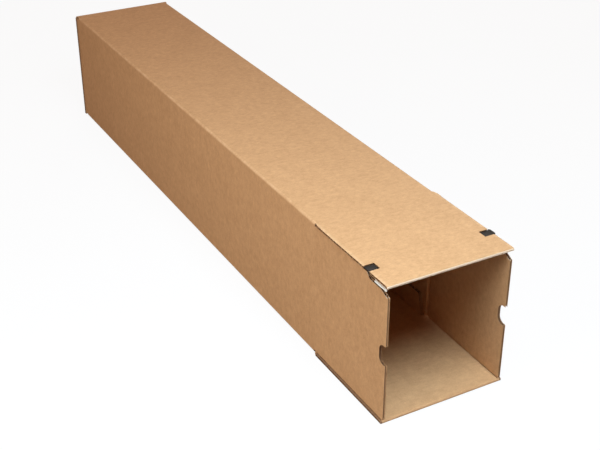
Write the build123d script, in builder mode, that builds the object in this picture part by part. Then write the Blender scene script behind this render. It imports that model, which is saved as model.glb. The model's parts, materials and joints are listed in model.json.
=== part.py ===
"""A long square-section shipping tube folded from one sheet of corrugated board.

The tube lies on its bottom panel with its length along Y. Its open end faces -Y and
its four end flaps are unfolded in line with the walls. The far end is folded shut.
"""

import os

from build123d import *

# Driving dimensions, in millimetres
board = 4.0  # thickness of the single-wall corrugated board
inner_width = 188.0
inner_height = 208.0
body_length = 990.0  # from the corner slits of the open end to the outside of the closed end
flap_reach = 184.0  # from the corner slits to the front edges of the open flaps
fold_radius = 4.5  # outside of the long folds
end_fold_radius = 3.5  # outside of the folds at the closed end
top_flap_overhang = 1.0  # the open end's top flap stands out past the side walls
bottom_flap_overhang = 2.0  # and so does its bottom flap
side_flap_top_play = 0.6  # between a side flap and the top flap
side_flap_bottom_play = 2.0  # between a side flap and the bottom flap
slit_run = 8.0  # length of the slanted cut where a corner slit starts
crease_gap = 0.3  # slack in a crease
layer_gap = 0.5  # between flaps that lie on each other

glue_lap_width = 35.0  # manufacturer's joint, glued inside the right wall
glue_lap_inset = 10.0

corner_drop = 7.5  # the side flaps step down here, clear of the closing strip
corner_drop_reach = 50.0
corner_taper_reach = 16.0
corner_taper_drop = 7.0
thumb_notch_depth = 14.0
thumb_notch_height = 30.0
thumb_notch_radius = 10.0

tear_notch_length = 15.0  # along the tube
tear_notch_depth = 16.0
tear_notch_reach = 42.0  # from the flap's front edge
tear_strip_width = 17.0
tear_strip_thickness = 0.3
tear_strip_inset = 4.0  # from the flap's left edge
tear_tab_length = 6.0  # loose end past the flap's right edge
tear_tab_radius = 5.0

seal_width = 28.0  # self-adhesive strip under the top flap's front edge
seal_inset = 1.0
seal_thickness = 0.4
liner_thickness = 0.4
liner_tab = 5.5  # the liner's finger-lift end, which hangs down at the left

end_flap_lift = 1.0  # the outer end flap stops short of the floor
bottom_end_flap_height = 184.0
bottom_end_flap_play = 1.0

# Sizes that follow from them
width = inner_width + 2 * board
height = inner_height + 2 * board
total_length = body_length + flap_reach
front = -total_length / 2
back = total_length / 2
slit = front + flap_reach
top_half = width / 2 + top_flap_overhang
bottom_half = width / 2 + bottom_flap_overhang
fold_half = width / 2 - fold_radius * (1 - 0.5**0.5)
layer = board + layer_gap

# Each flap that closes later has its crease one layer nearer to the open end.
left_crease = slit - layer
right_crease = slit - 2 * layer
top_crease = slit - 3 * layer

side_flap_low = board + side_flap_bottom_play
side_flap_high = height - board - side_flap_top_play
side_flap_mid = (side_flap_low + side_flap_high) / 2

# The layers of the closed end, from the outside inwards
outer_flap_inside = back - board
side_fold = outer_flap_inside - layer_gap
bottom_fold = side_fold - layer
walls_end = bottom_fold - board

os.makedirs("parts", exist_ok=True)


def slit_panel(half, start, wide, end):
    """Outline of a panel that spreads from the folds to its flap's half width and ends square."""
    Polyline(
        (-fold_half, start),
        (-half, wide),
        (-half, end),
        (half, end),
        (half, wide),
        (fold_half, start),
        close=True,
    )


def mitre(outer, inner, crease, depth, far):
    """Outline of a board's edge at a crease: a point at the outer liner, cut back inside."""
    Polyline((outer, crease), (outer, far), (inner, far), (inner, crease + depth), close=True)


# The folded tube, with the bottom flap and the closed end, is one sheet.
with BuildPart() as carton:
    with BuildSketch(Plane.XZ.offset(-slit)) as section:
        with Locations((0, height / 2)):
            Rectangle(width, height)
        folds = section.vertices().group_by(Axis.Y)
        fillet(folds[-1] + folds[0].sort_by(Axis.X)[:1], fold_radius)
        with Locations((0, height / 2)):
            Rectangle(inner_width, inner_height, mode=Mode.SUBTRACT)
        # The bottom panel folds up inside the right wall, whose raw edge runs to the floor.
        with BuildLine():
            seam_start = (inner_width / 2 - fold_radius, 0)
            seam_end = (inner_width / 2, fold_radius)
            RadiusArc(seam_start, seam_end, -fold_radius)
            Polyline(seam_end, (inner_width / 2, 0), seam_start)
        make_face(mode=Mode.SUBTRACT)
    extrude(amount=-(walls_end - slit))

    with BuildSketch(Plane.XZ.offset(-slit - glue_lap_inset)):
        with Locations((inner_width / 2, board)):
            Rectangle(board, glue_lap_width, align=(Align.MAX, Align.MIN))
    extrude(amount=-(walls_end - slit - 2 * glue_lap_inset))

    # Bottom flap, flat on the floor
    with BuildSketch(Plane.XY):
        with BuildLine():
            slit_panel(bottom_half, slit, slit - slit_run, front)
        make_face()
    extrude(amount=board)

    # Top panel up to its crease
    with BuildSketch(Plane.XY.offset(height - board)):
        with BuildLine():
            slit_panel(top_half, slit, slit - slit_run, top_crease)
        make_face()
    extrude(amount=board)
    with BuildSketch(Plane.YZ.offset(-top_half)):
        with BuildLine():
            crease_edge = top_crease + crease_gap / 2
            Polyline(
                (crease_edge, height),
                (crease_edge + board, height - board),
                (top_crease, height - board),
                (top_crease, height),
                close=True,
            )
        make_face()
    extrude(amount=2 * top_half, mode=Mode.SUBTRACT)

    # Side walls up to their creases
    with BuildSketch(Plane.XY.offset(side_flap_low)):
        with BuildLine():
            mitre(-width / 2, -inner_width / 2, left_crease + crease_gap / 2, board, slit)
        make_face()
        with BuildLine():
            mitre(width / 2, inner_width / 2, right_crease + crease_gap / 2, board, slit)
        make_face()
    extrude(amount=side_flap_high - side_flap_low)

    # Closed end: the bottom flap lies innermost
    with BuildSketch(Plane.YZ.offset(bottom_end_flap_play - inner_width / 2)) as bottom_end:
        with Locations((walls_end, 0)):
            Rectangle(board, bottom_end_flap_height, align=Align.MIN)
        fillet(bottom_end.vertices().group_by(Axis.Y)[0].sort_by(Axis.X)[-1], end_fold_radius)
    extrude(amount=inner_width - 2 * bottom_end_flap_play)

    # Closed end: both side walls run on and fold in, and their flaps meet at the middle
    with BuildSketch(Plane.XY.offset(side_flap_low)) as side_end:
        for side in (-1, 1):
            with Locations((side * (width / 2 - board / 2), walls_end)):
                Rectangle(board, side_fold - walls_end, align=(Align.CENTER, Align.MIN))
            flap_width = width / 2 - layer_gap
            with Locations((side * (width / 2 - flap_width / 2), side_fold)):
                Rectangle(flap_width, board, align=(Align.CENTER, Align.MAX))
        outside = side_end.vertices().group_by(Axis.Y)[-1].sort_by(Axis.X)
        fillet([outside[0], outside[-1]], end_fold_radius)
    extrude(amount=side_flap_high - side_flap_low)

    # Closed end: the top panel folds down over all of it
    with BuildSketch(Plane.XY.offset(height - board)):
        with BuildLine():
            slit_panel(width / 2, walls_end, walls_end + slit_run, back)
        make_face()
    extrude(amount=board)
    with BuildSketch(Plane.XZ.offset(-back)):
        with Locations((0, height)):
            Rectangle(width, height - end_flap_lift, align=(Align.CENTER, Align.MAX))
    extrude(amount=board)
    end_fold = carton.edges().filter_by(Axis.X).group_by(Axis.Y)[-1].sort_by(Axis.Z)[-1]
    fillet(end_fold, end_fold_radius)
carton.part.label = "carton"
export_step(carton.part, "parts/carton.step")

# Top flap, hinged along its crease, with a notch in each side edge for the tear strip
with BuildPart() as top_flap:
    with BuildSketch(Plane.XY.offset(height - board)):
        with Locations((0, front)):
            Rectangle(2 * top_half, top_crease - front, align=(Align.CENTER, Align.MIN))
        for side in (-1, 1):
            with Locations((side * (top_half - tear_notch_depth / 2), front + tear_notch_reach)):
                Rectangle(
                    tear_notch_depth,
                    tear_notch_length,
                    align=(Align.CENTER, Align.MIN),
                    mode=Mode.SUBTRACT,
                )
    extrude(amount=board)
    with BuildSketch(Plane.YZ.offset(-top_half)):
        with BuildLine():
            root = top_crease - crease_gap / 2
            Polyline(
                (root, height),
                (root - board, height - board),
                (front, height - board),
                (front, height),
                close=True,
            )
        make_face()
    extrude(amount=2 * top_half, mode=Mode.INTERSECT)
top_flap.part.label = "top_flap"
export_step(top_flap.part, "parts/top_flap.step")


def side_flap_outline(crease):
    """Outline of a side flap, seen from the side: a stepped top corner and a thumb notch."""
    drop_top = side_flap_high - corner_drop
    Polyline(
        (crease, side_flap_low),
        (front, side_flap_low),
        (front, drop_top - corner_taper_drop),
        (front + corner_taper_reach, drop_top),
        (front + corner_drop_reach - corner_drop, drop_top),
        (front + corner_drop_reach, side_flap_high),
        (crease, side_flap_high),
        close=True,
    )


def build_side_flap(outer, inner, crease):
    """A side flap between the faces at outer and inner, hinged at its crease."""
    root = crease - crease_gap / 2
    with BuildPart() as flap:
        with BuildSketch(Plane.YZ.offset(min(outer, inner))):
            with BuildLine():
                side_flap_outline(root)
            make_face()
            with Locations((front, side_flap_mid)):
                RectangleRounded(
                    2 * thumb_notch_depth,
                    thumb_notch_height,
                    thumb_notch_radius,
                    mode=Mode.SUBTRACT,
                )
        extrude(amount=board)
        with BuildSketch(Plane.XY.offset(side_flap_low)):
            with BuildLine():
                mitre(outer, inner, root, -board, front)
            make_face()
        extrude(amount=side_flap_high - side_flap_low, mode=Mode.INTERSECT)
    return flap


left_flap = build_side_flap(-width / 2, -inner_width / 2, left_crease)
left_flap.part.label = "left_flap"
export_step(left_flap.part, "parts/left_flap.step")

right_flap = build_side_flap(width / 2, inner_width / 2, right_crease)
right_flap.part.label = "right_flap"
export_step(right_flap.part, "parts/right_flap.step")

# Tear strip under the top flap, bared in both notches, with a loose pull end at the right
with BuildPart() as tear_strip:
    with BuildSketch(Plane.XY.offset(height - board - tear_strip_thickness)) as strip:
        strip_start = front + tear_notch_reach + (tear_notch_length - tear_strip_width) / 2
        strip_length = 2 * top_half - tear_strip_inset + tear_tab_length
        with Locations((-top_half + tear_strip_inset, strip_start)):
            Rectangle(strip_length, tear_strip_width, align=Align.MIN)
        fillet(strip.vertices().group_by(Axis.X)[-1], tear_tab_radius)
    extrude(amount=tear_strip_thickness)
tear_strip.part.label = "tear_strip"
export_step(tear_strip.part, "parts/tear_strip.step")

# Self-adhesive closing strip along the top flap's front edge
seal_top = height - board
seal_front = front + seal_inset
with BuildPart() as adhesive_strip:
    with BuildSketch(Plane.XY.offset(seal_top - seal_thickness)):
        with Locations((0, seal_front)):
            Rectangle(2 * (top_half - seal_inset), seal_width, align=(Align.CENTER, Align.MIN))
    extrude(amount=seal_thickness)
adhesive_strip.part.label = "adhesive_strip"
export_step(adhesive_strip.part, "parts/adhesive_strip.step")

# Release liner over the adhesive, its left end turned down as a finger lift
with BuildPart() as release_liner:
    liner_top = seal_top - seal_thickness
    with BuildSketch(Plane.XZ.offset(-seal_front)):
        with BuildLine():
            Polyline(
                (top_half - seal_inset, liner_top),
                (-top_half, liner_top),
                (-top_half, liner_top - liner_tab),
                (-top_half + liner_thickness, liner_top - liner_tab),
                (-top_half + liner_thickness, liner_top - liner_thickness),
                (top_half - seal_inset, liner_top - liner_thickness),
                close=True,
            )
        make_face()
    extrude(amount=-seal_width)
release_liner.part.label = "release_liner"
export_step(release_liner.part, "parts/release_liner.step")
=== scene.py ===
import json
import math

import bmesh
import bpy
from mathutils import Matrix, Vector


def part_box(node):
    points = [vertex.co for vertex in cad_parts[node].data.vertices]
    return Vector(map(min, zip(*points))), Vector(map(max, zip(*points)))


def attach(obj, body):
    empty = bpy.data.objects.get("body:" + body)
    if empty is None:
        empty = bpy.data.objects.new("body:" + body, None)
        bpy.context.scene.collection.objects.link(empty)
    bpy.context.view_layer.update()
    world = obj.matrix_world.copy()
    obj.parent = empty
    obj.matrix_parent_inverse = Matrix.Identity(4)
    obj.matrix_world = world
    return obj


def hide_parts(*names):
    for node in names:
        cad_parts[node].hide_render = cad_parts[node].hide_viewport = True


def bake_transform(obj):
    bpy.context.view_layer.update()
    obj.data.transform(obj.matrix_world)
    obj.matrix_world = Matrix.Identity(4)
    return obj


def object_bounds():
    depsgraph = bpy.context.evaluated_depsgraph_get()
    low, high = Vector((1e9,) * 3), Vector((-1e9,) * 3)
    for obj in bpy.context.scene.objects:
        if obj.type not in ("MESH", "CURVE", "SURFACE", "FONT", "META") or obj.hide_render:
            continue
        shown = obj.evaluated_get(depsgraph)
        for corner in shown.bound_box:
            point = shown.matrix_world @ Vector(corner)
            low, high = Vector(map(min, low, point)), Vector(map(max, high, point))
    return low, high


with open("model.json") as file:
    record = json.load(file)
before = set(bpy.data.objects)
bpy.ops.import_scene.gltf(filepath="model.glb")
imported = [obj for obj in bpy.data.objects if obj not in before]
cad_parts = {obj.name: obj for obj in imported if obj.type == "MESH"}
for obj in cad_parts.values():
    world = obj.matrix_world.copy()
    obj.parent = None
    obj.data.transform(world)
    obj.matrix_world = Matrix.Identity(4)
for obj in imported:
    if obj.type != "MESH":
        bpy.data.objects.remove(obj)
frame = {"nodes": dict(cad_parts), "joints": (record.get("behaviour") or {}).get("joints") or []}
cad_low, cad_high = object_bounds()

# The carton is one sheet of brown single-wall corrugated board: two kraft liners with a wavy
# fluting paper between. It is creased, folded round into a tube and glued along a lap inside the
# right wall. Its far end is folded shut, and the open end's bottom flap lies flat on the floor.
crease_at = {joint["child"]: Vector(joint["pos_m"]) for joint in frame["joints"]}
front, back, height = cad_low.y, cad_high.y, cad_high.z
half_height = height / 2
wall = crease_at["right_flap"].x
top_flap_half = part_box("top_flap")[1].x
bottom_flap_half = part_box("carton")[1].x
side_low, side_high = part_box("left_flap")[0].z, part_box("left_flap")[1].z
board = 0.004
layer = board + 0.0005
fold_radius = 0.0045
end_fold_radius = 0.0035
fold_segments = 6
slit = crease_at["left_flap"].y + layer
slit_run = 0.008
slit_cut = 0.0002
crease_reach = board + 0.00015
lap_face = wall - board
lap_top = 0.039
lap_taper = 0.01
side_fold = back - layer
bottom_fold = side_fold - layer
walls_end = bottom_fold - board
end_flap_lift = 0.001
end_flap_gap = 0.0005
end_flap_half = wall + 0.0015
bottom_end_height = 0.184
merge_distance = 0.00001
smooth_angle = math.radians(35)
on_edge = math.pi / 2

kraft_dark, kraft_pale = (0.45, 0.243, 0.108, 1), (0.7, 0.404, 0.198, 1)
kraft_rubbed = (0.74, 0.49, 0.28, 1)
# The fluting's colour is darker than the paper's own duller brown: painted shade for its hollows and the
# cut edges.
fluting_and_shade_dark, fluting_and_shade_pale = (0.19, 0.1, 0.05, 1), (0.32, 0.18, 0.094, 1)
cut_dark, cut_pale = (0.62, 0.43, 0.27, 1), (0.79, 0.6, 0.42, 1)
flute_pitch = 0.0072


class Value:
    """A socket of a finish. Arithmetic on it adds Math nodes."""

    def __init__(self, finish, socket):
        self.finish = finish
        self.socket = socket

    def __add__(self, other):
        return self.finish.maths("ADD", self, other)

    __radd__ = __add__

    def __sub__(self, other):
        return self.finish.maths("SUBTRACT", self, other)

    def __rsub__(self, other):
        return self.finish.maths("SUBTRACT", other, self)

    def __mul__(self, other):
        return self.finish.maths("MULTIPLY", self, other)

    __rmul__ = __mul__

    def __abs__(self):
        return self.finish.maths("ABSOLUTE", self)


class Finish:
    """The nodes of a material, or of the world, added one by one round its shader."""

    def __init__(self, owner, shader="Principled BSDF"):
        owner.use_nodes = True
        self.owner = owner
        self.tree = owner.node_tree
        self.shader = self.tree.nodes[shader]

    def node(self, kind, settings=None, sockets=None, out=0):
        """Adds a node, sets it up, fills or links its sockets and returns one output."""
        node = self.tree.nodes.new(kind)
        for name, setting in (settings or {}).items():
            setattr(node, name, setting)
        for name, value in (sockets or {}).items():
            self.feed(node.inputs[name], value)
        return Value(self, node.outputs[out])

    def feed(self, socket, value):
        if isinstance(value, Value):
            self.tree.links.new(value.socket, socket)
        else:
            socket.default_value = value

    def surface(self, **sockets):
        """Fills or links the shader's own sockets, with spaces in their names as underscores."""
        for name, value in sockets.items():
            self.feed(self.shader.inputs[name.replace("_", " ")], value)

    def maths(self, operation, *values):
        return self.node("ShaderNodeMath", {"operation": operation}, dict(enumerate(values)))

    def place(self):
        return self.node("ShaderNodeTexCoord", out="Object")

    def part(self, vector, axis):
        return self.node("ShaderNodeSeparateXYZ", None, {0: vector}, out=axis)

    def noise(self, place, scale, detail=2.0, roughness=0.5):
        """Noise about zero."""
        sockets = {"Vector": place, "Scale": scale, "Detail": detail, "Roughness": roughness}
        return self.node("ShaderNodeTexNoise", None, sockets) - 0.5

    def stretch(self, place, scale):
        return self.node("ShaderNodeMapping", None, {"Vector": place, "Scale": scale})

    def soft_step(self, value, low, high):
        """0 below low, 1 above high, and smooth between."""
        settings = {"interpolation_type": "SMOOTHSTEP"}
        sockets = {"Value": value, "From Min": low, "From Max": high}
        return self.node("ShaderNodeMapRange", settings, sockets)

    def blend(self, factor, first, second):
        """A colour between two."""
        settings = {"data_type": "RGBA", "clamp_factor": True}
        return self.node("ShaderNodeMix", settings, {"Factor": factor, 6: first, 7: second}, out=2)

    def bump(self, relief, strength, distance):
        sockets = {"Strength": strength, "Distance": distance, "Height": relief}
        return self.node("ShaderNodeBump", None, sockets)


def kraft_liner():
    """Brown kraft paper: cloudy, mottled, flecked along the flutes, and rubbed pale on the folds."""
    finish = Finish(bpy.data.materials.new("kraft_liner"))
    place = finish.place()
    flow = finish.stretch(place, (0.5, 1.0, 0.5))
    cloud = finish.noise(place, scale=36.0, detail=4.0, roughness=0.55)
    mottle = finish.noise(place, scale=115.0, detail=3.0)
    fleck = finish.noise(flow, scale=230.0, detail=3.0, roughness=0.6)
    fibre = finish.noise(flow, scale=950.0)
    grain = finish.noise(place, scale=2600.0, detail=1.0)
    cells = {"Vector": place, "Scale": 260.0}
    distance = finish.node("ShaderNodeTexVoronoi", None, cells, out="Distance")
    chance = finish.part(finish.node("ShaderNodeTexVoronoi", None, cells, out="Color"), 0)
    specks = (1 - finish.soft_step(distance, 0.06, 0.16)) * finish.soft_step(chance, 0.9, 0.93)
    tone = 0.5 + 0.35 * cloud + 0.5 * mottle + 0.65 * fleck + 0.7 * fibre + 0.5 * grain - 0.5 * specks

    facing = finish.node("ShaderNodeTexCoord", out="Normal")
    end_panel = finish.soft_step(abs(finish.part(facing, 1)), 0.6, 0.8)
    run = finish.part(place, 1) * (1 - end_panel) + finish.part(place, 2) * end_panel
    turns = run * (2 * math.pi / flute_pitch)
    washboard = finish.maths("SINE", turns) * (1 + 2.4 * finish.noise(place, scale=30.0))
    relief = 0.2 * fleck + 0.35 * fibre + 0.3 * grain + 0.16 * washboard

    fold_start, fold_middle = 0.9 * fold_radius, 0.35 * fold_radius
    at_side = finish.soft_step(abs(finish.part(place, 0)), wall - fold_start, wall - fold_middle)
    rise = abs(finish.part(place, 2) - half_height)
    at_level = finish.soft_step(rise, half_height - fold_start, half_height - fold_middle)
    rub = at_side * at_level * (0.25 + cloud + 0.8 * fleck)
    finish.surface(
        Base_Color=finish.blend(rub, finish.blend(tone, kraft_dark, kraft_pale), kraft_rubbed),
        Roughness=0.84 + 0.25 * fibre,
        Specular_IOR_Level=0.08,
        Normal=finish.bump(relief, strength=0.22, distance=0.0004),
    )
    return finish.owner


def fluting_and_painted_shade():
    """The fluting: thinner, duller brown paper, which also shows at the raw edges. Its colour is darker
    still, as painted shade for the board's hollows and cut edges.
    """
    finish = Finish(bpy.data.materials.new("fluting_and_painted_shade"))
    fibre = finish.noise(finish.place(), scale=700.0, detail=3.0)
    finish.surface(
        Base_Color=finish.blend(0.5 + fibre, fluting_and_shade_dark, fluting_and_shade_pale),
        Roughness=0.9 + 0.1 * fibre,
        Specular_IOR_Level=0.15,
        Normal=finish.bump(fibre, strength=0.3, distance=0.0002),
    )
    return finish.owner


def cut_paper():
    """Liner that the die has cut and crushed: paler, with torn fibres."""
    finish = Finish(bpy.data.materials.new("cut_edge"))
    fibre = finish.noise(finish.place(), scale=1300.0, detail=3.0)
    finish.surface(
        Base_Color=finish.blend(0.5 + 1.6 * fibre, cut_dark, cut_pale),
        Roughness=0.92 + 0.1 * fibre,
        Specular_IOR_Level=0.15,
        Normal=finish.bump(fibre, strength=0.3, distance=0.0002),
    )
    return finish.owner


# The fluting's finish also stands as painted shade on cut rims, notch walls and the strips beside the
# walls.
board_finishes = (kraft_liner(), fluting_and_painted_shade(), cut_paper())
liner_finish, flute_and_shade_finish, cut_finish = range(len(board_finishes))


def near(a, b, tolerance=0.00005):
    return abs(a - b) < tolerance


def start_sheet(name, size, at, turn=(0, 0, 0)):
    """A flat sheet of this size, added at its place."""
    bpy.ops.object.select_all(action="DESELECT")
    bpy.ops.mesh.primitive_plane_add(size=1, location=at, rotation=turn)
    sheet = bpy.context.object
    sheet.name = sheet.data.name = name
    sheet.scale = (*size, 1)
    bpy.ops.object.transform_apply(location=True, rotation=True, scale=True)
    return sheet


def take(piece):
    """Selects one piece alone."""
    bpy.ops.object.select_all(action="DESELECT")
    bpy.context.view_layer.objects.active = piece
    piece.select_set(True)


def edit(piece):
    take(piece)
    bpy.ops.object.mode_set(mode="EDIT")


def leave():
    bpy.ops.object.mode_set(mode="OBJECT")


def pick(kind, test):
    """Selects, in edit mode, the vertices, edges or faces whose every corner passes the test."""
    bpy.ops.mesh.select_mode(type=kind)
    bpy.ops.mesh.select_all(action="DESELECT")
    mesh = bmesh.from_edit_mesh(bpy.context.object.data)
    if kind == "VERT":
        for vert in mesh.verts:
            vert.select_set(test(vert.co))
    else:
        for part in mesh.edges if kind == "EDGE" else mesh.faces:
            part.select_set(all(test(vert.co) for vert in part.verts))
    bmesh.update_edit_mesh(bpy.context.object.data)


def pull_out(*steps):
    """Extrudes the picked edges step by step."""
    for step in steps:
        bpy.ops.mesh.extrude_edges_move(TRANSFORM_OT_translate={"value": step})


def shift(test, move):
    """Moves the vertices that pass the test."""
    pick("VERT", test)
    bpy.ops.transform.translate(value=move)


def press(test, axis, place, left=0.0):
    """Presses the vertices that pass the test towards a plane, down to this share of their distance."""
    pick("VERT", test)
    share, middle = [1, 1, 1], [0, 0, 0]
    share[axis], middle[axis] = left, place
    bpy.ops.transform.resize(value=share, center_override=middle)


def round_fold(test, radius):
    pick("EDGE", test)
    bpy.ops.mesh.bevel(offset=radius, segments=fold_segments, affect="EDGES")


def spread(level, *rows):
    """Sets how far a panel at this level reaches to both sides, row by row along the tube."""
    for side in (-1, 1):
        for at, half in rows:
            press(lambda co: near(co.z, level) and near(co.y, at) and co.x * side > 0, 0, side * half)


def trim_wall(side, *rows):
    """Cuts a side wall's lower and upper edge down to its flap's height, row by row along the tube."""
    for at in rows:
        press(lambda co: near(co.x, side * wall) and near(co.y, at) and co.z < half_height, 2, side_low)
        press(lambda co: near(co.x, side * wall) and near(co.y, at) and co.z > half_height, 2, side_high)


def finish_with(piece, kind, **settings):
    """Adds a modifier with these settings and applies it."""
    take(piece)
    modifier = piece.modifiers.new(kind.lower(), kind)
    for name, value in settings.items():
        setattr(modifier, name, value)
    bpy.ops.object.modifier_apply(modifier=modifier.name)


def smooth(piece):
    """Shades a piece smooth, but keeps its sharp edges."""
    take(piece)
    bpy.ops.object.shade_smooth_by_angle(angle=smooth_angle)


# The tube's outer faces, folded up from the right wall, over the top, down and round to the lap
fold_half = wall - fold_radius * (1 - math.sqrt(0.5))
carton = start_sheet(
    "carton_board",
    (height, walls_end - slit),
    (wall, (slit + walls_end) / 2, half_height),
    (0, on_edge, 0),
)
edit(carton)
pick("EDGE", lambda co: near(co.z, height))
pull_out((-2 * wall, 0, 0), (0, 0, -height), (wall + lap_face, 0, 0), (0, 0, lap_top))
for x, z in ((wall, height), (-wall, height), (-wall, 0), (lap_face, 0)):
    round_fold(lambda co: near(co.x, x) and near(co.z, z), fold_radius)
for end, inset in ((slit, lap_taper), (walls_end, -lap_taper)):
    shift(lambda co: near(co.x, lap_face) and near(co.z, lap_top) and near(co.y, end), (0, inset, 0))

# Open end: the bottom flap, and the short stretches of the other panels up to their creases
top_stub = crease_at["top_flap"].y + crease_reach
slit_wide = slit - slit_run
pick("EDGE", lambda co: near(co.y, slit) and near(co.z, 0))
pull_out((0, -slit_cut, 0), (0, slit_cut - slit_run, 0), (0, front - slit_wide, 0))
spread(0, (slit - slit_cut, fold_half), (slit_wide, bottom_flap_half), (front, bottom_flap_half))
pick("EDGE", lambda co: near(co.y, slit) and near(co.z, height))
pull_out((0, -slit_cut, 0), (0, slit_cut - slit_run, 0), (0, top_stub - slit_wide, 0))
spread(height, (slit - slit_cut, fold_half), (slit_wide, top_flap_half), (top_stub, top_flap_half))
for side, flap in ((-1, "left_flap"), (1, "right_flap")):
    stub = crease_at[flap].y + crease_reach
    pick("EDGE", lambda co: near(co.y, slit) and near(co.x, side * wall))
    pull_out((0, -slit_cut, 0), (0, stub - slit + slit_cut, 0))
    trim_wall(side, slit - slit_cut, stub)

# Closed end: the bottom flap goes up first, then the side flaps, then the top flap over all
pick("EDGE", lambda co: near(co.y, walls_end) and near(co.z, 0))
pull_out((0, bottom_fold - walls_end, 0), (0, 0, bottom_end_height))
round_fold(lambda co: near(co.y, bottom_fold) and near(co.z, 0), end_fold_radius)
for side in (-1, 1):
    pick("EDGE", lambda co: near(co.y, walls_end) and near(co.x, side * wall))
    pull_out(
        (0, slit_cut, 0),
        (0, side_fold - walls_end - slit_cut, 0),
        (side * (end_flap_gap - wall), 0, 0),
    )
    trim_wall(side, walls_end + slit_cut, side_fold)
    inner_edge = side * end_flap_gap
    press(lambda co: near(co.x, inner_edge) and near(co.y, side_fold) and co.z < half_height, 2, side_low)
    press(lambda co: near(co.x, inner_edge) and near(co.y, side_fold) and co.z > half_height, 2, side_high)
    round_fold(lambda co: near(co.y, side_fold) and near(co.x, side * wall), end_fold_radius)
end_wide = walls_end + slit_run
pick("EDGE", lambda co: near(co.y, walls_end) and near(co.z, height))
pull_out((0, slit_cut, 0), (0, slit_run - slit_cut, 0), (0, back - end_wide, 0))
spread(height, (walls_end + slit_cut, fold_half), (end_wide, wall), (back, wall))
pick("EDGE", lambda co: near(co.y, back) and near(co.z, height))
pull_out((0, 0, end_flap_lift - height))
round_fold(lambda co: near(co.y, back) and near(co.z, height), end_fold_radius)
for side in (-1, 1):
    press(lambda co: near(co.y, back) and co.x * side > 0, 0, side * end_flap_half)
bpy.ops.mesh.select_all(action="SELECT")
bpy.ops.mesh.remove_doubles(threshold=merge_distance)
bpy.ops.mesh.normals_make_consistent(inside=False)
leave()

# The sheet's faces have to point outwards, because the board's thickness goes inwards from them
top_face = max(carton.data.polygons, key=lambda face: face.center.z)
if top_face.normal.z < 0:
    edit(carton)
    bpy.ops.mesh.select_all(action="SELECT")
    bpy.ops.mesh.flip_normals()
    leave()

# The two liners, and the fluting between them wherever a cut edge shows it
liner = 0.0004
flute_steps = 8
flute_paper = 0.0003
glue_line = 0.00002
flute_half = board / 2 - liner - flute_paper / 2 - glue_line
flute_inset = 0.0004
seam_rise = 0.06


def give_finish(piece, finish):
    """Gives a piece the board's finishes, and all of its faces this one."""
    for material in board_finishes:
        piece.data.materials.append(material)
    for face in piece.data.polygons:
        face.material_index = finish


def add_liners(sheet):
    """Makes two liners, a board's thickness apart, of a sheet of outer faces."""
    give_finish(sheet, liner_finish)
    finish_with(sheet, "SOLIDIFY", thickness=board, offset=-1, use_rim=False, use_even_offset=True)
    # The liners' cut rims get the dark fluting finish: painted shade along every cut edge.
    finish_with(
        sheet,
        "SOLIDIFY",
        thickness=liner,
        offset=-1,
        use_even_offset=True,
        material_offset_rim=flute_and_shade_finish,
    )


def lay_fluting(carrier, across, along, at, turn=(0, 0, 0)):
    """Adds wavy paper to a board: this wide across, waved this far along, turned, at its middle."""
    rows = round(along / flute_pitch * flute_steps)
    bpy.ops.object.select_all(action="DESELECT")
    bpy.ops.mesh.primitive_grid_add(x_subdivisions=1, y_subdivisions=rows, size=1)
    paper = bpy.context.object
    paper.scale = (across, along, 1)
    bpy.ops.object.transform_apply(location=False, rotation=False, scale=True)
    edit(paper)
    for step in range(flute_steps):
        pick("VERT", lambda co: round((co.y / along + 0.5) * rows) % flute_steps == step)
        rise = -flute_half * math.cos(2 * math.pi * step / flute_steps)
        bpy.ops.transform.translate(value=(0, 0, rise))
    leave()
    finish_with(paper, "SOLIDIFY", thickness=flute_paper, offset=0)
    paper.rotation_euler = turn
    paper.location = at
    bpy.ops.object.transform_apply(location=True, rotation=True, scale=True)
    give_finish(paper, flute_and_shade_finish)
    take(carrier)
    paper.select_set(True)
    bpy.ops.object.join()


add_liners(carton)
flap_run = slit_wide - front - flute_inset
flap_middle = front + flute_inset + flap_run / 2
lay_fluting(carton, 2 * (bottom_flap_half - flute_inset), flap_run, (0, flap_middle, board / 2))
stub_middle = (slit_wide + top_stub) / 2
across_top = 2 * (top_flap_half - flute_inset)
lay_fluting(carton, across_top, slit_wide - top_stub, (0, stub_middle, height - board / 2))
end_run = height - board - end_flap_lift - flute_inset
end_middle = end_flap_lift + flute_inset + end_run / 2
across_end = 2 * (end_flap_half - flute_inset)
lay_fluting(carton, across_end, end_run, (0, back - board / 2, end_middle), (on_edge, 0, 0))
seam_middle = (wall - board / 2, (slit + walls_end) / 2, flute_inset + seam_rise / 2)
lay_fluting(carton, seam_rise, walls_end - slit, seam_middle, (0, on_edge, 0))
lap_rise = lap_top - board - flute_inset
lap_middle = (lap_face - board / 2, (slit + walls_end) / 2, board + lap_rise / 2)
lay_fluting(carton, lap_rise, walls_end - slit - 2 * lap_taper, lap_middle, (0, on_edge, 0))

# The die's rules crush the board along its cut edges: rows of distance and thickness left
side_crush = ((0.0026, 1.0), (0.0013, 0.95), (0.0, 0.84))
front_crush = ((0.0042, 1.0), (0.003, 0.96), (0.0019, 0.87), (0.001, 0.71), (0.0004, 0.52), (0.0, 0.36))
front_band = 0.001
slack = 0.0001


def anywhere(co):
    return True


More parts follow.
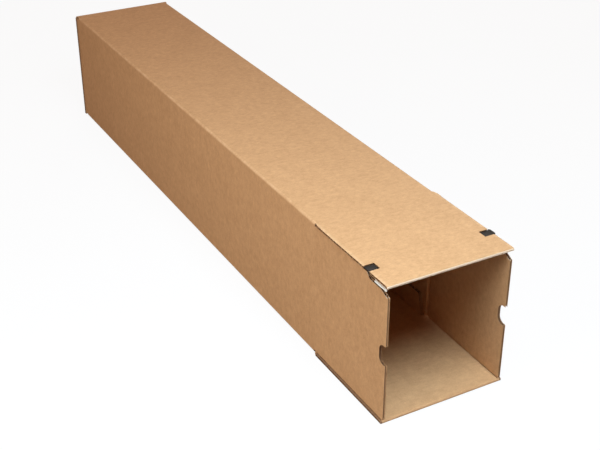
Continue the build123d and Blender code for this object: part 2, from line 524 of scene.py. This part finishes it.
def crush_edge(piece, edge, kept_face, rows, within=anywhere):
    """Presses a board thinner towards the face that it keeps, row by row up to its cut edge.

    The edge is an axis, a place on it and the way inwards, the kept face an axis and a place.
    """
    axis, place, inwards = edge
    normal = Vector((0, 0, 0))
    normal[axis] = 1
    edit(piece)
    for distance, _ in rows[:-1]:
        pick("FACE", within)
        bpy.ops.mesh.bisect(plane_co=normal * (place + inwards * distance), plane_no=normal)
    for distance, left in rows:
        at = place + inwards * distance
        press(lambda co: near(co[axis], at) and within(co), *kept_face, left)
    leave()


def face_front(piece, finish):
    """Gives a front edge, where the die cuts along the flutes, this finish."""
    for face in piece.data.polygons:
        if face.center.y < front + front_band:
            face.material_index = finish


def on_bottom_flap(co):
    return co.y < slit_wide + slack and co.z < board + slack


def on_end_flap(co):
    return co.y > back - board - slack and co.z < height - end_fold_radius + slack


def at_raw_side_or_shaded_strip(face):
    """Whether a face is at a side of the bottom or end flap, past the walls, and not turned back: the raw
    edges, and the strips of liner there that get painted shade.
    """
    on_flap = on_bottom_flap(face.center) or on_end_flap(face.center)
    turned_back = face.normal.y > 0.5
    return on_flap and abs(face.center.x) > wall and not turned_back


crush_edge(carton, (1, front, 1), (2, 0), front_crush, on_bottom_flap)
face_front(carton, liner_finish)
for side in (-1, 1):
    crush_edge(carton, (0, side * bottom_flap_half, -side), (2, 0), side_crush, on_bottom_flap)
    crush_edge(carton, (0, side * end_flap_half, -side), (1, back), side_crush, on_end_flap)
# These faces get the dark fluting finish: the raw edges, and the liner strips beside the walls as painted
# shade for the walls' shadow.
for face in carton.data.polygons:
    if at_raw_side_or_shaded_strip(face):
        face.material_index = flute_and_shade_finish
smooth(carton)
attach(carton, "tube")
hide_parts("carton")

# The top flap is the same board past its crease. It is die cut with a notch in each side edge,
# where the tear strip under it can be gripped.
tear_notch_length, tear_notch_depth, tear_notch_reach = 0.015, 0.016, 0.042
notch_start = front + tear_notch_reach
notch_end = notch_start + tear_notch_length
inner_top = height - board
cutter_spare = 0.01


def start_block(name, low, high):
    """A block between two opposite corners, in any order, added at its place."""
    low, high = Vector(map(min, low, high)), Vector(map(max, low, high))
    bpy.ops.object.select_all(action="DESELECT")
    bpy.ops.mesh.primitive_cube_add(size=1, location=(low + high) / 2)
    block = bpy.context.object
    block.name = block.data.name = name
    block.scale = high - low
    bpy.ops.object.transform_apply(location=True, rotation=True, scale=True)
    return block


def die_cut(piece, cutter, finish):
    """Cuts a piece with a block, which is then thrown away, and gives the cut this finish."""
    give_finish(cutter, finish)
    finish_with(piece, "BOOLEAN", operation="DIFFERENCE", solver="EXACT", object=cutter)
    bpy.data.objects.remove(cutter)


top_root = crease_at["top_flap"].y - crease_reach
top_flap = start_sheet(
    "top_flap_board", (2 * top_flap_half, top_root - front), (0, (top_root + front) / 2, height)
)
add_liners(top_flap)
run = top_root - front - flute_inset
lay_fluting(top_flap, across_top, run, (0, top_root - run / 2, height - board / 2))
# The notch walls get the dark fluting finish: painted shade in the notches.
for side in (-1, 1):
    inner_corner = (side * (top_flap_half - tear_notch_depth), notch_start, inner_top - cutter_spare)
    outer_corner = (side * (top_flap_half + cutter_spare), notch_end, height + cutter_spare)
    die_cut(top_flap, start_block("notch_cutter", inner_corner, outer_corner), flute_and_shade_finish)
crush_edge(top_flap, (1, front, 1), (2, inner_top), front_crush)
face_front(top_flap, cut_finish)
for side in (-1, 1):
    crush_edge(top_flap, (0, side * top_flap_half, -side), (2, inner_top), side_crush)
smooth(top_flap)
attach(top_flap, "top_flap")
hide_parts("top_flap")

# The side flaps are a mirrored pair of the same board, die cut. Each has its top corner stepped
# down, to clear the closing strip, and a thumb notch in its front edge.
corner_drop, corner_drop_reach = 0.0075, 0.05
corner_taper_reach, corner_taper_drop = 0.016, 0.007
thumb_notch_depth, thumb_notch_height, thumb_notch_radius = 0.014, 0.03, 0.01
thumb_notch_segments = 8
side_mid = (side_low + side_high) / 2
side_run = side_high - side_low
drop_top = side_high - corner_drop
for side, name in ((-1, "left_flap"), (1, "right_flap")):
    root = crease_at[name].y - crease_reach
    outer, inner = side * (wall + cutter_spare), side * (wall - board - cutter_spare)
    flap = start_sheet(
        name + "_board",
        (side_run, root - front),
        (side * wall, (root + front) / 2, side_mid),
        (0, side * on_edge, 0),
    )
    add_liners(flap)
    run = root - front - flute_inset
    middle = (side * (wall - board / 2), root - run / 2, side_mid)
    lay_fluting(flap, side_run - 2 * flute_inset, run, middle, (0, side * on_edge, 0))

    step_end = front + corner_drop_reach
    step = start_block("step_cutter", (outer, front - cutter_spare, drop_top), (inner, step_end, height))
    edit(step)
    shift(lambda co: near(co.y, step_end) and near(co.z, drop_top), (0, -corner_drop, 0))
    shift(lambda co: near(co.y, step_end) and near(co.z, height), (0, height - side_high, 0))
    leave()
    die_cut(flap, step, cut_finish)

    taper_end = front + corner_taper_reach
    taper_low = front - corner_taper_reach
    taper = start_block("taper_cutter", (outer, taper_low, drop_top), (inner, taper_end, height))
    edit(taper)
    shift(lambda co: near(co.y, taper_low) and near(co.z, drop_top), (0, 0, -2 * corner_taper_drop))
    leave()
    die_cut(flap, taper, cut_finish)

    notch_depth = front + thumb_notch_depth
    thumb = start_block(
        "thumb_cutter",
        (outer, front - thumb_notch_depth, side_mid - thumb_notch_height / 2),
        (inner, notch_depth, side_mid + thumb_notch_height / 2),
    )
    edit(thumb)
    for level in (side_mid - thumb_notch_height / 2, side_mid + thumb_notch_height / 2):
        pick("EDGE", lambda co: near(co.y, notch_depth) and near(co.z, level))
        bpy.ops.mesh.bevel(offset=thumb_notch_radius, segments=thumb_notch_segments, affect="EDGES")
    leave()
    # The thumb notch's walls get the dark fluting finish: painted shade in the notch.
    die_cut(flap, thumb, flute_and_shade_finish)

    crush_edge(flap, (1, front, 1), (0, side * (wall - board)), side_crush)
    face_front(flap, liner_finish)
    smooth(flap)
    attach(flap, name)
    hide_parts(name)

# Each flap hangs on its crease, a line where a rule has crushed the board thin from the inside,
# so that it bends there.
crease_rows = 14
crease_crush = 0.0024
groove_bluntness = 0.7
square_on = 0.1


def press_crease(flap, low, high, inward):
    """A strip of board across a crease, with the rule's groove on its inner side."""
    strip = start_block(flap.replace("flap", "crease"), low, high)
    line = crease_at[flap].y
    inner_face = max(Vector(low).dot(inward), Vector(high).dot(inward))
    rows = [line + crease_reach * (2 * row / crease_rows - 1) for row in range(1, crease_rows)]
    edit(strip)
    for row in rows:
        bpy.ops.mesh.select_all(action="SELECT")
        bpy.ops.mesh.bisect(plane_co=(0, row, 0), plane_no=(0, 1, 0))
    for row in rows:
        share = 0.5 + 0.5 * math.cos(math.pi * (row - line) / crease_reach)
        depth = crease_crush * share**groove_bluntness
        shift(lambda co: near(co.y, row) and near(co.dot(inward), inner_face), -depth * inward)
    leave()
    give_finish(strip, liner_finish)
    for face in strip.data.polygons:
        if abs(face.normal.dot(inward)) < square_on and abs(face.normal.y) < square_on:
            face.material_index = flute_and_shade_finish
    smooth(strip)
    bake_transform(strip)


line = crease_at["top_flap"].y
press_crease(
    "top_flap",
    (-top_flap_half, line - crease_reach, inner_top),
    (top_flap_half, line + crease_reach, height),
    Vector((0, 0, -1)),
)
for side, name in ((-1, "left_flap"), (1, "right_flap")):
    line = crease_at[name].y
    press_crease(
        name,
        (side * wall, line - crease_reach, side_low),
        (side * (wall - board), line + crease_reach, side_high),
        Vector((-side, 0, 0)),
    )

# The tear strip is black tape, heat bonded across the inside of the top flap. It bulges a little
# into both notches. Its right end, with rounded corners, is left loose to be pulled, and curls up.
tape_low, tape_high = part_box("tear_strip")
tape_dark, tape_pale = (0.0145, 0.0105, 0.008, 1), (0.037, 0.0285, 0.0225, 1)
tape_inset = 0.0006
tape_thickness = 0.00025
bond_line = 0.00004
tape_bulge = 0.0022
bulge_slope = 0.0004
pull_bends = ((-0.009, 0.0004), (-0.004, 0.0005), (-0.0005, 0.0006))
pull_take_up = 0.0036
pull_corner, pull_segments = 0.0048, 6


def black_tape():
    """Black film with fine threads along it."""
    finish = Finish(bpy.data.materials.new("black_tape"))
    place = finish.place()
    thread = finish.noise(finish.stretch(place, (0.15, 1.0, 1.0)), scale=1800.0)
    cloud = finish.noise(place, scale=160.0, detail=3.0)
    finish.surface(
        Base_Color=finish.blend(0.5 + thread + 0.6 * cloud, tape_dark, tape_pale),
        Roughness=0.62 + 0.3 * thread,
        Specular_IOR_Level=0.12,
        Normal=finish.bump(thread, strength=0.3, distance=0.0002),
    )
    return finish.owner


tape_left = tape_inset - top_flap_half
pull_end = tape_high.x - pull_take_up
tape = start_sheet(
    "tear_tape",
    (pull_end - tape_left, tape_high.y - tape_low.y),
    ((pull_end + tape_left) / 2, (tape_low.y + tape_high.y) / 2, tape_high.z - bond_line),
)
tape.data.materials.append(black_tape())
edit(tape)
pick("VERT", lambda co: near(co.x, pull_end))
bpy.ops.mesh.bevel(offset=pull_corner, segments=pull_segments, affect="VERTICES")
notch_inner = top_flap_half - tear_notch_depth
bulge_inner = notch_inner + bulge_slope
bulge_low, bulge_high = notch_start + bulge_slope, notch_end - bulge_slope
bends_x = [top_flap_half + past for past, _ in pull_bends]
for x in (-bulge_inner, -notch_inner, notch_inner, bulge_inner, top_flap_half, *bends_x):
    bpy.ops.mesh.select_all(action="SELECT")
    bpy.ops.mesh.bisect(plane_co=(x, 0, 0), plane_no=(1, 0, 0))
for y in (notch_start, bulge_low, bulge_high, notch_end):
    bpy.ops.mesh.select_all(action="SELECT")
    bpy.ops.mesh.bisect(plane_co=(0, y, 0), plane_no=(0, 1, 0))


def lifted(co):
    in_notch = bulge_low - slack < co.y < bulge_high + slack and abs(co.x) > bulge_inner - slack
    return in_notch or co.x > top_flap_half + slack


shift(lifted, (0, 0, tape_bulge))
for past, rise in pull_bends:
    bend_x = top_flap_half + past
    shift(lambda co: lifted(co) and co.x > bend_x + slack, (0, 0, rise))
leave()
finish_with(tape, "SOLIDIFY", thickness=tape_thickness, offset=-1)
smooth(tape)
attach(tape, "top_flap")
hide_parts("tear_strip")

# The release paper is white silicone paper over the closing strip's adhesive, until the box is
# closed. Its left end is turned down past the flap's edge as a finger lift, and curls out a little.
paper_low, paper_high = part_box("release_liner")
# The paper's colour is greyed below its off-white: painted shade under the flap's edge.
paper_and_shade_dark, paper_and_shade_pale = (0.58, 0.54, 0.46, 1), (0.72, 0.68, 0.6, 1)
paper_thickness = 0.0002
paper_inset = 0.0006
lift_turns = ((-0.0002, 0, -0.0005), (0.0001, 0, -0.0012), (-0.0003, 0, -0.0011), (-0.0008, 0, -0.0009))
lift_corner, lift_segments = 0.0012, 4


def silicone_paper():
    """Smooth, slightly glossy white paper, its colour greyed as painted shade."""
    finish = Finish(bpy.data.materials.new("silicone_paper"))
    cloud = finish.noise(finish.place(), scale=120.0, detail=3.0)
    finish.surface(
        Base_Color=finish.blend(0.5 + cloud, paper_and_shade_dark, paper_and_shade_pale),
        Roughness=0.45 + 0.2 * cloud,
        Specular_IOR_Level=0.4,
    )
    return finish.owner


paper_left = paper_low.x + paper_inset
release = start_sheet(
    "release_paper",
    (paper_high.x - paper_left, paper_high.y - paper_low.y),
    ((paper_high.x + paper_left) / 2, (paper_low.y + paper_high.y) / 2, paper_high.z - bond_line),
)
release.data.materials.append(silicone_paper())
edit(release)
pick("EDGE", lambda co: near(co.x, paper_left))
pull_out(*lift_turns)
bpy.ops.mesh.select_mode(type="VERT")
bpy.ops.mesh.bevel(offset=lift_corner, segments=lift_segments, affect="VERTICES")
bpy.ops.mesh.select_all(action="SELECT")
bpy.ops.mesh.normals_make_consistent(inside=False)
leave()
finish_with(release, "SOLIDIFY", thickness=paper_thickness, offset=0)
smooth(release)
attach(release, "top_flap")
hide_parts("release_liner")

# The closing strip itself is a film of pale, tacky adhesive under the flap's front edge, between
# the board and the release paper. Its solid has the right shape and only gets its finish.
film_dark, film_pale = (0.62, 0.55, 0.4, 1), (0.74, 0.68, 0.54, 1)


def tacky_film():
    """Pale, glossy, slightly uneven adhesive."""
    finish = Finish(bpy.data.materials.new("tacky_film"))
    cloud = finish.noise(finish.place(), scale=300.0, detail=3.0)
    finish.surface(
        Base_Color=finish.blend(0.5 + cloud, film_dark, film_pale),
        Roughness=0.3 + 0.2 * cloud,
        Normal=finish.bump(cloud, strength=0.4, distance=0.0003),
    )
    return finish.owner


frame["nodes"]["adhesive_strip"].data.materials[0] = tacky_film()

# The camera stands in front of the open end, to its left and above it, and looks along the tube.
# Its lens is of about 67 mm, and it has no shift.
image_width = 600
focal_pixels = 1114.7
camera_place = Vector((-0.7556, -1.5554, 0.9577))
yaw, pitch, roll = (math.radians(angle) for angle in (-28.834, -29.303, 0.012))
camera_data = bpy.data.cameras.new("camera")
camera_data.sensor_width = 36
camera_data.lens = camera_data.sensor_width * focal_pixels / image_width
camera = bpy.data.objects.new("camera", camera_data)
bpy.context.scene.collection.objects.link(camera)
bpy.context.scene.camera = camera
turn = Matrix.Rotation(yaw, 3, "Z") @ Matrix.Rotation(pitch, 3, "X") @ Matrix.Rotation(roll, 3, "Y")
right, forward, up = turn.col
upright = Matrix((right, up, -forward)).transposed().to_quaternion()
camera.matrix_world = Matrix.LocRotScale(camera_place, upright, None)
bpy.context.scene.view_settings.view_transform = "Standard"

# Soft lamps light it: a large one over the open end, which leaves the inside dark, a weaker one from
# the left, and a low, wide light behind it to the right, so that its far sides aren't black.
back_light_width = math.radians(30)


def soft_box(name, size):
    """A round lamp behind a diffuser."""
    lamp_data = bpy.data.lights.new(name, "AREA")
    lamp_data.shape = "DISK"
    lamp_data.size = size
    return lamp_data


def hang_lamp(lamp_data, at, towards, power, color):
    lamp_data.energy = power
    lamp_data.color = color
    lamp = bpy.data.objects.new(lamp_data.name, lamp_data)
    bpy.context.scene.collection.objects.link(lamp)
    at, towards = Vector(at), Vector(towards)
    lamp.matrix_world = Matrix.LocRotScale(at, (towards - at).to_track_quat("-Z", "Y"), None)


hang_lamp(
    soft_box("overhead_lamp", size=0.7),
    at=(-0.1, -1.0, 1.28),
    towards=(0, -0.4, 0.1),
    power=19,
    color=(0.775, 1.04, 1.26),
)
hang_lamp(
    soft_box("side_lamp", size=0.9),
    at=(-1.35, -0.6, 0.85),
    towards=(0, -0.1, 0.1),
    power=11.7,
    color=(0.98, 1.01, 0.99),
)
back_light = bpy.data.lights.new("back_light", "SUN")
back_light.angle = back_light_width
hang_lamp(back_light, at=(2.0, 2.0, 0.45), towards=(0, 0, 0.2), power=1.1, color=(1, 0.96, 0.9))

# The floor is plain pale paper. It and the studio behind it are white where they are seen, and
# throw only a little light back, so that the walls of the tube keep their shade.
floor_size = 60
floor_gap = 0.0003
floor_grey, floor_white = 0.3, 0.9
floor_glow = 0.92
studio_color, studio_strength = (1, 0.51, 0.31, 1), 0.29


def seen(finish):
    """1 where the camera, a gloss or a clear piece sees a surface, and 0 where it only throws light."""
    rays = ("Is Camera Ray", "Is Glossy Ray", "Is Transmission Ray")
    camera_ray, glossy_ray, clear_ray = (finish.node("ShaderNodeLightPath", out=ray) for ray in rays)
    return finish.maths("MINIMUM", camera_ray + glossy_ray + clear_ray, 1.0)


def white_where_seen(finish, white_shader, output, share):
    """Mixes a plain white over a stage's own shader."""
    white = finish.node(white_shader, None, {"Color": (1, 1, 1, 1), "Strength": 1.0})
    own = Value(finish, finish.shader.outputs[0])
    mixed = finish.node("ShaderNodeMixShader", None, {0: share, 1: own, 2: white})
    finish.feed(finish.tree.nodes[output].inputs["Surface"], mixed)


floor = start_sheet("floor", (floor_size, floor_size), (0, 0, -floor_gap))
paper_floor = Finish(bpy.data.materials.new("paper_floor"))
floor.data.materials.append(paper_floor.owner)
floor_seen = seen(paper_floor)
paper_floor.surface(Base_Color=floor_grey + (floor_white - floor_grey) * floor_seen, Roughness=0.9)
white_where_seen(paper_floor, "ShaderNodeEmission", "Material Output", floor_glow * floor_seen)

bpy.context.scene.world = bpy.data.worlds.new("studio")
studio = Finish(bpy.context.scene.world, "Background")
studio.surface(Color=studio_color, Strength=studio_strength)
white_where_seen(studio, "ShaderNodeBackground", "World Output", seen(studio))
